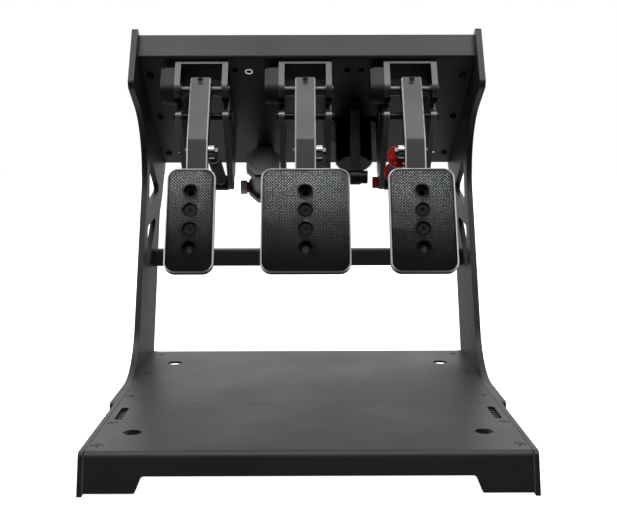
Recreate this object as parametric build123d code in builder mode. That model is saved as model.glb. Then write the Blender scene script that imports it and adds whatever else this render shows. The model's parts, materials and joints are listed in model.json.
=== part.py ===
from build123d import *
import math
import os

# A set of three hanging pedals for racing simulators, on a free-standing steel frame.
# Lengths are in millimetres and angles in degrees. X runs to the driver's right, Y away from the driver
# and Z up. The origin lies on the floor, under the middle of the whole set.

os.makedirs("parts", exist_ok=True)

# Fits shared by all pieces
running_gap = 0.05
seat_gap = 0.3
overrun = 2.0

# Heel plates
heel_width = 448.0
heel_depth = 469.0
heel_front_depth = 175.0
heel_seam = 0.6
heel_side_seam = 0.8
heel_top = 42.0
sheet = 3.0
heel_bend_radius = 7.5
skirt_lean = 16.5
skirt_clearance = 3.0
notch_foot_half_width = 172.0
notch_head_half_width = 165.5
notch_height = 19.0
notch_corner_radius = 4.0
notch_foot_radius = 4.0
notch_foot_flare = 14.0
access_hole_radius = 9.7
access_hole_span = 373.2
access_hole_front = 60.2
access_hole_rear_setback = 77.8
slot_width = 8.6
slot_length = 50.0
slot_front = 108.0
slot_span = 423.6
heel_screw_span = 428.4
front_screw_runs = (14.4, 93.7)
rear_screw_setbacks = (261.7, 140.6, 26.7)

# Base rails under the edges of the heel plates
rail_web = 5.0
rail_flange = 28.0
rail_flange_thickness = 4.0
rail_tail = 1.0
rail_top_drop = 0.3
rail_nose_radius = 6.0
rail_flange_start = 6.0
tooth_count = 5
tooth_gap_length = 5.0
tooth_gap_width = 10.5
tooth_pitch = 9.0

# Uprights, cut from thick plate
upright_thickness = 8.0
upright_foot_start = 187.5
upright_foot_height = 39.5
upright_foot_clearance = 2.0
upright_limb_lean = 24.0
upright_limb_start = 336.4
upright_throat_drop = 103.6
upright_shelf_angle = 27.1
upright_shelf_length = 139.7
upright_shoulder_reach = 199.3
upright_shoulder_drop = 195.2
upright_waist_reach = 168.3
upright_waist_drop = 222.2
upright_rear_heel = 475.0
upright_sweep_radius = 94.0
upright_throat_radius = 91.5
upright_corner_radius = 9.0
upright_small_radius = 4.0
upright_shoulder_radius = 22.0
upright_rear_margin = 10.0
upper_window = ((88.3, 132.2), (169.3, 184.2), (69.3, 207.2))
lower_window = ((137.3, 222.2), (36.3, 302.2), (53.3, 233.2))
window_radius = 6.0

# Rear crossbar
crossbar_reach = 98.3
crossbar_drop = 271.7
crossbar_height = 25.0
crossbar_depth = 22.0
crossbar_sheet = 3.0
crossbar_tab = 18.0
crossbar_bend_radius = 3.5

# Pedal deck
fold_reach = 392.7
fold_height = 463.2
deck_tilt = 32.5
deck_length = 272.0
flange_lean = 29.5
flange_height = 36.8
flange_margin = 1.5
deck_bend_radius = 4.5
rear_lip_height = 18.0
deck_hole_radius = 3.8
deck_hole_span = 399.0
deck_hole_run = 241.0
deck_screw_span = 435.0
deck_screw_runs = (41.0, 141.0, 242.0)

# Deck rails, angle bars between the deck and the uprights
deck_rail_leg = 24.0
deck_rail_height = 26.0
deck_rail_thickness = 4.0
deck_rail_start = 16.0
deck_rail_end = 256.0
deck_rail_screw_runs = (60.0, 130.0, 200.0)

# Frame screws
screw_radius = 3.0
countersink_head_radius = 6.0
countersink_recess = 0.5
countersink_head_height = 2.5
button_head_radius = 5.25
button_head_height = 3.3
button_crown_share = 0.8
button_socket_radius = 2.0
button_socket_share = 0.67
button_socket_depth = 1.8
heel_screw_length = 10.0
upright_screw_length = 12.0
deck_screw_length = 8.0
foot_screw_shares = (0.1, 0.36, 0.62, 0.88)
foot_screw_height = 20.0
module_screw_radius = 2.0
module_screw_head_radius = 3.8
module_screw_head_height = 2.2
module_screw_length = 13.0

# Pedal modules
clutch_spacing = 140.5
throttle_spacing = 142.8
pedal_centre = -2.2
pivot_run = 25.0
pivot_drop = 36.5
ear_gap = 56.0
ear_thickness = 8.0
ear_radius = 18.3
bracket_web = 5.0
bush_radius = 8.0
bush_flange_radius = 10.0
bush_flange_thickness = 1.0
axle_radius = 7.5
journal_radius = 6.0
journal_tail = 10.0
keeper_radius = 8.5
keeper_thickness = 2.0
sensor_width = 18.5
sensor_near_drop = 11.8
sensor_lid_step = 1.0
sensor_lid_width = 4.5

# Gusset plates beside each pedal
gusset_clearance = 1.7
gusset_end_run = 177.0
gusset_end_drop = 78.0
stop_run = 42.5
stop_drop = 66.7
stop_boss_radius = 8.3
stop_radius = 5.0
stop_shaft_radius = 4.0
stop_head_radius = 6.5
stop_head_thickness = 3.0
anchor_run = 162.9
anchor_drop = 100.0
anchor_boss_radius = 10.0
anchor_journal_radius = 6.0
gusset_window = ((82.0, 20.0), (136.0, 20.0), (136.0, 62.0))
gusset_window_radius = 6.0
gusset_screw_inset = 12.0

# Pedal arms
arm_width = 27.0
arm_depth = 20.0
arm_face_offset = 21.4
arm_head_rise = 6.1
arm_eye_radius = 13.0
arm_upper_lean = 33.7
arm_lower_lean = 17.6
arm_knee_drop = 93.2
arm_shank_length = 138.0
arm_edge_chamfer = 1.5
arm_knee_radius = 10.0

# Pedal plates and their adaptors
plate_height = 139.0
plate_thickness = 9.0
plate_corner_radius = 14.0
plate_chamfer = 1.8
plate_tilt = 25.0
plate_station = 115.5
adaptor_depth = 20.5
plate_outset = 3.8
clutch_plate_width = 61.5
brake_plate_width = 112.5
throttle_plate_width = 84.0
plate_hole_pitch = 25.2
plate_hole_count = 4
plate_counterbore_radius = 9.0
plate_counterbore_depth = 6.0
plate_bore_radius = 4.4
adaptor_width = 26.0
adaptor_end_margin = 12.0
adaptor_edge_chamfer = 1.0
plate_screw_radius = 4.0
plate_screw_head_radius = 7.25
plate_screw_head_height = 3.6
plate_screw_socket_radius = 2.5
plate_screw_socket_depth = 2.5
plate_screw_bite = 10.0

# Return links between the arms and the anchors
link_pin_drop = 14.3
link_pin_radius = 4.0
link_play = 1.4
link_offset = 18.2
link_pin_head_radius = 5.0
link_pin_head_thickness = 2.5
link_nut_radius = 5.4
link_nut_thickness = 4.0
link_nut_gap = 0.4
eye_thickness = 7.6
eye_radius = 9.2
rod_radius = 4.0
rod_tail = 5.0
preload_station = 22.0
preload_nut_radius = 8.2
preload_nut_thickness = 8.0
preload_nut_grooves = 16
preload_groove_radius = 0.7
wheel_radius = 15.5
wheel_thickness = 5.0
wheel_hole_radius = 1.4
wheel_hole_circle_radius = 11.0
wheel_hole_count = 6
hub_radius = 8.0
trunnion_radius = 11.0
trunnion_side_gap = 0.4
cup_radius = 9.0
cup_thickness = 5.0
cup_neck_radius = 6.4
cup_distance = 28.0
throttle_cup_radius = 14.0
throttle_cup_distance = 57.0

# Coil springs
spring_mean_radius = 7.2
clutch_wire = 2.8
clutch_turns = 12
throttle_wire = 2.4
throttle_turns = 7
arcs_per_turn = 4

# Elastomer stack of the brake
elastomer_radius = 8.8
elastomer_count = 5
elastomer_washer = 2.5
elastomer_edge_radius = 2.0
elastomer_bore_play = 0.5

# Canister with an octagonal cap, between clutch and brake
cap_canister_x = -65.0
cap_canister_run = 163.7
cap_canister_drop = 62.9
cap_canister_length = 82.0
octagon_half_width = 24.5
octagon_thickness = 12.0
octagon_chamfer = 1.5
canister_waist_radius = 20.0
cap_thickness = 6.0
cap_ring_radius = 16.5
cap_ring_width = 0.8
cap_ring_depth = 0.8
pedestal_width = 26.0
pedestal_length = 18.0
pedestal_start = 62.5
tie_screw_run = 205.0
adjuster_radius = 10.8
adjuster_length = 9.5
adjuster_collar_radius = 8.5
adjuster_collar_length = 3.0
adjuster_spindle_radius = 3.0
adjuster_spindle_length = 8.0
knurl_count = 24
knurl_radius = 0.8

# Canister with a flange, between brake and throttle
flange_canister_x = 70.3
flange_canister_run = 174.0
can_radius = 27.5
can_drop = 62.0
can_rim_chamfer = 4.0
can_flange_width = 68.0
can_flange_depth = 58.0
can_flange_thickness = 5.0
can_flange_corner = 8.0
can_screw_span = 60.0
strut_width = 14.7
strut_thickness = 9.0
strut_foot_run = 112.0
strut_foot_length = 26.0
strut_foot_thickness = 6.0
strut_end_run = 148.0
strut_end_drop = 100.0
strut_eye_radius = 11.0
cross_bolt_radius = 9.5
cross_bolt_length = 35.0
cross_bolt_shank_radius = 5.0

# Lock knob at the throttle's anchor
lock_knob_radius = 8.5
lock_knob_length = 8.5
lock_knob_gap = 0.4
lock_spindle_radius = 3.0
lock_spindle_length = 6.0

# Control box on top of the deck
box_width = 214.0
box_depth = 52.0
box_height = 24.0
box_stand = 6.0
box_corner_radius = 4.0
box_centre_x = -12.0
box_centre_run = 36.0
box_foot_radius = 4.0
box_foot_side_inset = 20.0
box_foot_inset = 9.0
socket_radius = 6.0
socket_bore_radius = 4.4
socket_bore_depth = 8.0
socket_places = ((-99.0, 28.0), (-80.0, 31.0), (56.0, 28.0), (76.0, 28.0))


def direction(y, z):
    """A direction in the object's side view."""
    return Vector(0, y, z)


def sine(angle):
    return math.sin(math.radians(angle))


def cosine(angle):
    return math.cos(math.radians(angle))


def tangent(angle):
    return math.tan(math.radians(angle))


def meet(start, along, other, other_along):
    """The point where two lines of the side view cross, each given by a point and a direction."""
    cross = along.X * other_along.Y - along.Y * other_along.X
    gap = other - start
    return start + along * ((gap.X * other_along.Y - gap.Y * other_along.X) / cross)


def save(builder, name):
    """Labels a finished piece and writes its file."""
    builder.part.label = name
    export_step(builder.part, f"parts/{name}.step")


# Outline of the uprights in the side view, measured back from the heel plate's front edge
limb_along = Vector(sine(upright_limb_lean), cosine(upright_limb_lean))
shelf_along = Vector(-cosine(upright_shelf_angle), sine(upright_shelf_angle))
flange_along = Vector(sine(flange_lean), cosine(flange_lean))
deck_down = Vector(cosine(deck_tilt), -sine(deck_tilt))
fold_corner = Vector(fold_reach, fold_height)
flange_tip = fold_corner + flange_along * flange_height
limb_foot = Vector(upright_limb_start, upright_foot_height)
throat_rise = fold_height - upright_throat_drop - upright_foot_height
throat = limb_foot + limb_along * (throat_rise / cosine(upright_limb_lean))
peak = throat + shelf_along * upright_shelf_length
top_start = flange_tip + flange_along * flange_margin
top_front = meet(peak, flange_along, top_start, deck_down)
deck_end = fold_corner + deck_down * deck_length
shoulder = fold_corner + Vector(upright_shoulder_reach, -upright_shoulder_drop)
waist = fold_corner + Vector(upright_waist_reach, -upright_waist_drop)
rear_along = Vector(deck_end.X + upright_rear_margin, deck_end.Y) - shoulder
top_rear = meet(shoulder, rear_along, top_start, deck_down)
with BuildSketch() as upright_outline:
    with BuildLine():
        FilletPolyline(
            (upright_foot_start, upright_foot_clearance),
            (upright_foot_start, upright_foot_height),
            limb_foot,
            throat,
            peak,
            top_front,
            top_rear,
            shoulder,
            waist,
            (upright_rear_heel, upright_foot_height),
            (upright_rear_heel, upright_foot_clearance),
            radius=[
                0,
                upright_small_radius,
                upright_sweep_radius,
                upright_throat_radius,
                upright_corner_radius,
                upright_small_radius,
                upright_corner_radius,
                upright_shoulder_radius,
                upright_shoulder_radius,
                upright_shoulder_radius,
                0,
            ],
            close=True,
        )
    make_face()
    for window in (upper_window, lower_window):
        with BuildLine():
            FilletPolyline(
                *[fold_corner + Vector(reach, -drop) for reach, drop in window],
                radius=window_radius,
                close=True,
            )
        make_face(mode=Mode.SUBTRACT)

# The skirt leans out below the heel plate, and the base rails reach as far as it would at the floor
bend_turn = 90 - skirt_lean
setback = heel_bend_radius * tangent(bend_turn / 2)
toe_reach = setback + heel_top * tangent(skirt_lean)
rear_reach = upright_outline.sketch.bounding_box().max.X
front_edge = -(rear_reach - toe_reach) / 2
heel_half = heel_width / 2
overall_half = heel_half + rail_web + upright_thickness
deck_half = heel_half + rail_web - seat_gap

along_deck = direction(deck_down.X, deck_down.Y)
above_deck = direction(sine(deck_tilt), cosine(deck_tilt))
fold_point = Vector(0, front_edge + fold_reach, fold_height)


def side_plane(x):
    """Side view at x: first axis back from the heel plate's front edge, second axis up from the floor."""
    return Plane(origin=(x, front_edge, 0), x_dir=(0, 1, 0), z_dir=(1, 0, 0))


def deck_point(x, run, drop):
    """A point at a run down the deck from its fold, and a drop below its lower face."""
    return Vector(x, 0, 0) + fold_point + along_deck * run - above_deck * drop


def deck_plane(drop):
    """The deck's own plane at a drop below its lower face: first axis X, second axis down the deck."""
    return Plane(origin=deck_point(0, 0, drop), x_dir=(1, 0, 0), z_dir=above_deck)


def module_plane(x):
    """Side view along the deck at x: first axis down the deck, second axis square to it, upwards."""
    return Plane(origin=deck_point(x, 0, 0), x_dir=along_deck, z_dir=(1, 0, 0))


def outer_side_plane(side):
    """The outer face of an upright, seen from outside: first axis back or forward, second axis up."""
    return Plane(origin=(side * overall_half, front_edge, 0), x_dir=(0, side, 0), z_dir=(side, 0, 0))


def outer_deck_plane(side):
    """The same face with its first axis along the deck."""
    return Plane(origin=deck_point(side * overall_half, 0, 0), x_dir=along_deck * side, z_dir=(side, 0, 0))


def folded_sheet(points, radii, thickness):
    """Section of a folded sheet whose outer face follows the points, with its thickness on their left."""
    with BuildSketch() as section:
        with BuildLine():
            FilletPolyline(*points, radius=radii)
            offset(amount=thickness, side=Side.LEFT)
        make_face()
    return section.sketch


def countersunk_screws(plane, places, length):
    """Countersunk screws at places of the plane, their heads a little way under it."""
    with BuildPart() as screws:
        with Locations(plane.offset(-countersink_recess - countersink_head_height / 2)):
            with Locations(*places):
                Cone(screw_radius, countersink_head_radius, countersink_head_height)
        with BuildSketch(plane.offset(-countersink_recess)):
            with Locations(*places):
                Circle(screw_radius)
        extrude(amount=-length)
        with BuildSketch(plane.offset(-countersink_recess)):
            with Locations(*places):
                RegularPolygon(button_socket_radius, 6)
        extrude(amount=-button_socket_depth, mode=Mode.SUBTRACT)
    return screws.part


def button_screws(plane, places, head_radius, head_height, shank_radius, length):
    """Button head screws at places of the plane, their heads on it and their shanks below it."""
    with BuildPart() as screws:
        with Locations(plane.offset(head_height / 2)):
            with Locations(*places):
                Cone(head_radius, head_radius * button_crown_share, head_height)
        with BuildSketch(plane):
            with Locations(*places):
                Circle(shank_radius)
        extrude(amount=-length)
        with BuildSketch(plane.offset(head_height)):
            with Locations(*places):
                RegularPolygon(shank_radius * button_socket_share, 6)
        extrude(amount=-button_socket_depth, mode=Mode.SUBTRACT)
    return screws.part


def knurled_outline(radius):
    """A round outline with grooves all around."""
    with BuildSketch() as outline:
        Circle(radius)
        with PolarLocations(radius, knurl_count):
            Circle(knurl_radius, mode=Mode.SUBTRACT)
    return outline.sketch


# Heel plates
access_hole_pitch = heel_depth - access_hole_front - access_hole_rear_setback
rear_screw_runs = tuple(heel_depth - inset for inset in rear_screw_setbacks)
countersink_rise = countersink_head_radius - screw_radius
countersink_angle = 2 * math.degrees(math.atan2(countersink_rise, countersink_head_height))
countersink_flare = countersink_recess * countersink_rise / countersink_head_height
countersink_top_radius = countersink_head_radius + countersink_flare + 2 * running_gap
countersink = {
    "radius": screw_radius + running_gap,
    "counter_sink_radius": countersink_top_radius,
    "counter_sink_angle": countersink_angle,
}
heel_screw_half = heel_screw_span / 2
heel_section = folded_sheet(
    [
        (heel_front_depth - heel_seam / 2, heel_top),
        (-setback, heel_top),
        (-setback - (heel_top - skirt_clearance) * tangent(skirt_lean), skirt_clearance),
    ],
    [heel_bend_radius],
    sheet,
)
floor_plan = Plane(origin=(0, front_edge, heel_top))
with BuildPart() as heel_plate_front:
    with BuildSketch(side_plane(0)):
        add(heel_section)
    extrude(amount=heel_half - heel_side_seam, both=True)
    with BuildSketch(Plane(origin=(0, front_edge, 0), x_dir=(1, 0, 0), z_dir=(0, -1, 0))):
        with BuildLine():
            FilletPolyline(
                (notch_foot_half_width + notch_foot_flare, -overrun),
                (notch_foot_half_width, skirt_clearance),
                (notch_head_half_width, notch_height),
                (-notch_head_half_width, notch_height),
                (-notch_foot_half_width, skirt_clearance),
                (-notch_foot_half_width - notch_foot_flare, -overrun),
                radius=[0, notch_foot_radius, notch_corner_radius, notch_corner_radius, notch_foot_radius, 0],
                close=True,
            )
        make_face()
    extrude(amount=toe_reach + overrun, mode=Mode.SUBTRACT)
    with Locations(floor_plan):
        with Locations((0, access_hole_front)):
            with GridLocations(access_hole_span, 0, 2, 1):
                Hole(access_hole_radius, depth=sheet + overrun)
        with Locations(*[(side * heel_screw_half, run) for side in (-1, 1) for run in front_screw_runs]):
            CounterSinkHole(depth=sheet + overrun, **countersink)
    with BuildSketch(floor_plan):
        with Locations((0, slot_front + slot_length / 2)):
            with GridLocations(slot_span, 0, 2, 1):
                SlotOverall(slot_length, slot_width, rotation=90)
    extrude(amount=-sheet - overrun, mode=Mode.SUBTRACT)
save(heel_plate_front, "heel_plate_front")

with BuildPart() as heel_plate_rear:
    with BuildSketch(floor_plan):
        with Locations((0, (heel_front_depth + heel_seam / 2 + heel_depth) / 2)):
            Rectangle(2 * (heel_half - heel_side_seam), heel_depth - heel_front_depth - heel_seam / 2)
    extrude(amount=-sheet)
    with Locations(floor_plan):
        with Locations((0, access_hole_front + access_hole_pitch)):
            with GridLocations(access_hole_span, 0, 2, 1):
                Hole(access_hole_radius, depth=sheet + overrun)
        with Locations(*[(side * heel_screw_half, run) for side in (-1, 1) for run in rear_screw_runs]):
            CounterSinkHole(depth=sheet + overrun, **countersink)
save(heel_plate_rear, "heel_plate_rear")

# Base rails: an upright web beside the plates and a flange under them
rail_top = heel_top - rail_top_drop
rail_under = heel_top - sheet
rail_length = upright_rear_heel + rail_tail
rail_nose = toe_reach - rail_top * tangent(skirt_lean)
deck_rail_mid = (deck_rail_height + sheet) / 2
crossbar_front = fold_reach + crossbar_reach
crossbar_low = fold_height - crossbar_drop - crossbar_height
crossbar_mid = crossbar_low + crossbar_height / 2
crossbar_screw_back = crossbar_front + crossbar_tab / 2 + crossbar_sheet
crossbar_screw_rise = crossbar_height / 4
foot_length = upright_rear_heel - upright_foot_start
foot_places = [(upright_foot_start + foot_length * share, foot_screw_height) for share in foot_screw_shares]
upright_places = foot_places + [
    (crossbar_screw_back, crossbar_mid - crossbar_screw_rise),
    (crossbar_screw_back, crossbar_mid + crossbar_screw_rise),
]
rail_places = [(run, deck_rail_mid) for run in deck_rail_screw_runs]
for side, hand in ((-1, "left"), (1, "right")):
    with BuildPart() as base_rail:
        with BuildSketch(side_plane(side * heel_half)):
            with BuildLine():
                FilletPolyline(
                    (-toe_reach, 0),
                    (-rail_nose, rail_top),
                    (rail_length, rail_top),
                    (rail_length, 0),
                    radius=[0, rail_nose_radius, upright_small_radius, 0],
                    close=True,
                )
            make_face()
        extrude(amount=side * rail_web)
        with BuildSketch(Plane(origin=(0, front_edge, rail_under))):
            with Locations((side * (heel_half - rail_flange / 2), (rail_flange_start + heel_depth) / 2)):
                Rectangle(rail_flange, heel_depth - rail_flange_start)
        extrude(amount=-rail_flange_thickness)
        with Locations(floor_plan):
            with Locations(
                *[(side * heel_screw_half, run) for run in front_screw_runs + rear_screw_runs]
            ):
                Hole(screw_radius + running_gap, depth=sheet + rail_flange_thickness + overrun)
        with BuildSketch(Plane(origin=(0, front_edge, rail_under))):
            with Locations((side * slot_span / 2, slot_front + slot_length / 2)):
                with GridLocations(0, tooth_pitch, 1, tooth_count):
                    Rectangle(tooth_gap_width, tooth_gap_length)
        extrude(amount=-rail_flange_thickness - overrun, mode=Mode.SUBTRACT)
        with BuildSketch(side_plane(side * (heel_half + rail_web + overrun))):
            with Locations(*foot_places):
                Circle(screw_radius + running_gap)
        extrude(amount=-side * (rail_web + 2 * overrun), mode=Mode.SUBTRACT)
    save(base_rail, f"base_rail_{hand}")

    with BuildPart() as upright:
        with BuildSketch(side_plane(side * (heel_half + rail_web))):
            add(upright_outline.sketch)
        extrude(amount=side * upright_thickness)
        with Locations(outer_side_plane(side)):
            with Locations(*[(side * run, rise) for run, rise in upright_places]):
                CounterSinkHole(depth=upright_thickness + overrun, **countersink)
        with Locations(outer_deck_plane(side)):
            with Locations(*[(side * run, rise) for run, rise in rail_places]):
                CounterSinkHole(depth=upright_thickness + overrun, **countersink)
    save(upright, f"upright_{hand}")

    rail_outer = deck_half
    with BuildPart() as deck_rail:
        with BuildSketch(module_plane(0)):
            with Locations(((deck_rail_start + deck_rail_end) / 2, sheet + deck_rail_height / 2)):
                Rectangle(deck_rail_end - deck_rail_start, deck_rail_height)
        extrude(amount=side * rail_outer)
        with BuildSketch(module_plane(0)):
            with Locations(((deck_rail_start + deck_rail_end) / 2, sheet + deck_rail_height / 2)):
                Rectangle(deck_rail_end - deck_rail_start + overrun, deck_rail_height + overrun)
        extrude(amount=side * (rail_outer - deck_rail_leg), mode=Mode.SUBTRACT)
        with BuildSketch(module_plane(0)):
            with Locations(
                ((deck_rail_start + deck_rail_end) / 2, sheet + deck_rail_thickness + deck_rail_height / 2)
            ):
                Rectangle(deck_rail_end - deck_rail_start + overrun, deck_rail_height)
        extrude(amount=side * (rail_outer - deck_rail_thickness), mode=Mode.SUBTRACT)
        with BuildSketch(deck_plane(0)):
            with Locations(*[(side * deck_screw_span / 2, run) for run in deck_screw_runs]):
                Circle(screw_radius + running_gap)
        extrude(amount=sheet + deck_rail_thickness + overrun, mode=Mode.SUBTRACT)
        with BuildSketch(module_plane(side * (rail_outer + overrun))):
            with Locations(*rail_places):
                Circle(screw_radius + running_gap)
        extrude(amount=-side * (deck_rail_thickness + 2 * overrun), mode=Mode.SUBTRACT)
    save(deck_rail, f"deck_rail_{hand}")

# Rear crossbar: a channel open to the rear with a tab folded back at each end
crossbar_half = heel_half + rail_web - seat_gap
crossbar_section = folded_sheet(
    [
        (crossbar_front + crossbar_depth, crossbar_low + crossbar_height),
        (crossbar_front, crossbar_low + crossbar_height),
        (crossbar_front, crossbar_low),
        (crossbar_front + crossbar_depth, crossbar_low),
    ],
    [crossbar_bend_radius, crossbar_bend_radius],
    crossbar_sheet,
)
with BuildPart() as rear_crossbar:
    with BuildSketch(side_plane(0)):
        add(crossbar_section)
    extrude(amount=crossbar_half, both=True)
    for side in (-1, 1):
        with BuildSketch(side_plane(side * crossbar_half)):
            with Locations((crossbar_front + crossbar_sheet + crossbar_tab / 2, crossbar_mid)):
                Rectangle(crossbar_tab, crossbar_height - crossbar_sheet)
        extrude(amount=-side * crossbar_sheet)
        with BuildSketch(side_plane(side * (crossbar_half + overrun))):
            with Locations(*upright_places[len(foot_places):]):
                Circle(screw_radius + running_gap)
        extrude(amount=-side * (crossbar_sheet + 2 * overrun), mode=Mode.SUBTRACT)
save(rear_crossbar, "rear_crossbar")

# Pedal deck: one folded sheet with a flange in front and a lip behind
rear_lip = deck_end + Vector(sine(deck_tilt), cosine(deck_tilt)) * rear_lip_height
deck_section = folded_sheet(
    [flange_tip, fold_corner, deck_end, rear_lip],
    [deck_bend_radius, deck_bend_radius],
    sheet,
)
pedal_places = {
    "clutch": pedal_centre - clutch_spacing,
    "brake": pedal_centre,
    "throttle": pedal_centre + throttle_spacing,
}
ear_middle = (ear_gap + ear_thickness) / 2
gusset_start = pivot_run + ear_radius + gusset_clearance
module_screw_places = [
    (x + side * ear_middle, run)
    for x in pedal_places.values()
    for side in (-1, 1)
    for run in (pivot_run, gusset_start + gusset_screw_inset, gusset_end_run - gusset_screw_inset)
]
can_screw_places = [(flange_canister_x + side * can_screw_span / 2, flange_canister_run) for side in (-1, 1)]
strut_screw_place = (flange_canister_x, strut_foot_run)
pedestal_run = cap_canister_run + pedestal_start + pedestal_length / 2
pedestal_places = [(cap_canister_x, pedestal_run + side * pedestal_length / 4) for side in (-1, 1)]
top_screw_places = module_screw_places + pedestal_places + can_screw_places + [strut_screw_place]
deck_screw_places = [(side * deck_screw_span / 2, run) for side in (-1, 1) for run in deck_screw_runs]
with BuildPart() as pedal_deck:
    with BuildSketch(side_plane(0)):
        add(deck_section)
    extrude(amount=deck_half, both=True)
    with BuildSketch(deck_plane(overrun)):
        with Locations(*deck_screw_places):
            Circle(screw_radius + running_gap)
        with Locations((cap_canister_x, tie_screw_run)):
            Circle(module_screw_radius + running_gap)
        with Locations(*top_screw_places):
            Circle(module_screw_radius + running_gap)
        with Locations((0, deck_hole_run)):
            with GridLocations(deck_hole_span, 0, 2, 1):
                Circle(deck_hole_radius)
        with Locations(*socket_places):
            Circle(socket_radius + seat_gap)
    extrude(amount=sheet + 2 * overrun, mode=Mode.SUBTRACT)
save(pedal_deck, "pedal_deck")

# Screws of the frame
heel_places = [(side * heel_screw_half, run) for side in (-1, 1) for run in front_screw_runs + rear_screw_runs]
countersunk_sets = [countersunk_screws(floor_plan, heel_places, heel_screw_length)]
for side in (-1, 1):
    side_places = [(side * run, rise) for run, rise in upright_places]
    countersunk_sets.append(countersunk_screws(outer_side_plane(side), side_places, upright_screw_length))
    deck_places = [(side * run, rise) for run, rise in rail_places]
    countersunk_sets.append(countersunk_screws(outer_deck_plane(side), deck_places, upright_screw_length))
with BuildPart() as countersunk_group:
    add(countersunk_sets)
save(countersunk_group, "countersunk_screws")

deck_under = Plane(origin=deck_point(0, 0, 0), x_dir=(1, 0, 0), z_dir=-above_deck)
deck_top = deck_plane(-sheet)
deck_fixings = button_screws(
    deck_under,
    [(x, -run) for x, run in deck_screw_places],
    button_head_radius,
    button_head_height,
    screw_radius,
    deck_screw_length,
)
module_fixings = button_screws(
    deck_top,
    module_screw_places + pedestal_places,
    module_screw_head_radius,
    module_screw_head_height,
    module_screw_radius,
    module_screw_length,
)
canister_fixings = button_screws(
    deck_top,
    can_screw_places + [strut_screw_place],
    module_screw_head_radius,
    module_screw_head_height,
    module_screw_radius,
    sheet + can_flange_thickness,
)
tie_screw = button_screws(
    deck_under,
    [(cap_canister_x, -tie_screw_run)],
    module_screw_head_radius,
    module_screw_head_height,
    module_screw_radius,
    sheet + button_head_height,
)
with BuildPart() as button_group:
    add([deck_fixings, module_fixings, canister_fixings, tie_screw])
save(button_group, "button_screws")

# Shapes shared by the three pedals, in the side view from the pivot
limb_up = Vector(sine(arm_upper_lean), cosine(arm_upper_lean))
limb_back = Vector(cosine(arm_upper_lean), -sine(arm_upper_lean))
shank_down = Vector(-sine(arm_lower_lean), -cosine(arm_lower_lean))
shank_back = Vector(cosine(arm_lower_lean), -sine(arm_lower_lean))
plate_up = Vector(sine(plate_tilt), cosine(plate_tilt))
plate_back = Vector(cosine(plate_tilt), -sine(plate_tilt))
head_front = limb_up * arm_head_rise - limb_back * arm_face_offset
head_back = limb_up * arm_head_rise + limb_back * (arm_depth - arm_face_offset)
knee_front = limb_back * -arm_face_offset - limb_up * arm_knee_drop
foot_front = knee_front + shank_down * arm_shank_length
foot_back = foot_front + shank_back * arm_depth
knee_back = meet(head_back, limb_up, foot_back, shank_down)
plate_rear_centre = knee_front + shank_down * plate_station - shank_back * adaptor_depth
plate_face_centre = plate_rear_centre - plate_back * plate_thickness
hole_reach = plate_hole_pitch * (plate_hole_count - 1) / 2
adaptor_reach = hole_reach + adaptor_end_margin
adaptor_top = plate_rear_centre + plate_up * adaptor_reach
adaptor_foot = plate_rear_centre - plate_up * adaptor_reach
adaptor_top_back = meet(adaptor_top, plate_back, knee_front, shank_down)
adaptor_foot_back = meet(adaptor_foot, plate_back, knee_front, shank_down)
pin_side = knee_front + shank_down * link_pin_drop + shank_back * (arm_depth / 2)
anchor_side = deck_down * (anchor_run - pivot_run)
anchor_side -= Vector(sine(deck_tilt), cosine(deck_tilt)) * (anchor_drop - pivot_drop)
link_vector = anchor_side - pin_side
link_length = link_vector.length
link_along = direction(link_vector.X / link_length, link_vector.Y / link_length)
outer_gap = ear_gap / 2 + ear_thickness


def pivot_plane(x):
    """Side view at x: first axis back from the pedal's pivot, second axis up."""
    return Plane(origin=deck_point(x, pivot_run, pivot_drop), x_dir=(0, 1, 0), z_dir=(1, 0, 0))


def clamp_plane(x):
    """The front face of the arm's upper limb, centred before the pivot."""
    forward = -direction(limb_back.X, limb_back.Y)
    return Plane(origin=pivot_plane(x).origin + forward * arm_face_offset, x_dir=(1, 0, 0), z_dir=forward)


def plate_plane(x, depth):
    """The pedal plate's plane at a depth behind its face, turned to the driver: axes X and up the plate."""
    centre = plate_face_centre + plate_back * depth
    origin = deck_point(x, pivot_run, pivot_drop) + direction(centre.X, centre.Y)
    return Plane(origin=origin, x_dir=(1, 0, 0), z_dir=-direction(plate_back.X, plate_back.Y))


def link_plane(x, station):
    """Plane across the return link at a station behind the arm's cross pin, facing the anchor."""
    origin = deck_point(x, pivot_run, pivot_drop) + direction(pin_side.X, pin_side.Y) + link_along * station
    return Plane(origin=origin, x_dir=(1, 0, 0), z_dir=link_along)


def point_on(plane, x, y, z):
    """The point of space at the plane's own coordinates."""
    return plane.origin + plane.x_dir * x + plane.y_dir * y + plane.z_dir * z


def vector_on(plane, x, y, z):
    """The vector of space with the plane's own components."""
    return plane.x_dir * x + plane.y_dir * y + plane.z_dir * z


def biarc(start, start_along, end, end_along):
    """The point where two arcs that leave start and reach end in the given directions meet, and how."""
    chord = end - start
    total = start_along + end_along
    spread = 2 * (1 - start_along.dot(end_along))
    lean = chord.dot(total)
    reach = (math.sqrt(lean * lean + spread * chord.dot(chord)) - lean) / spread
    first = start + start_along * reach
    second = end - end_along * reach
    return (first + second) / 2, (second - first).normalized()


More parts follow.
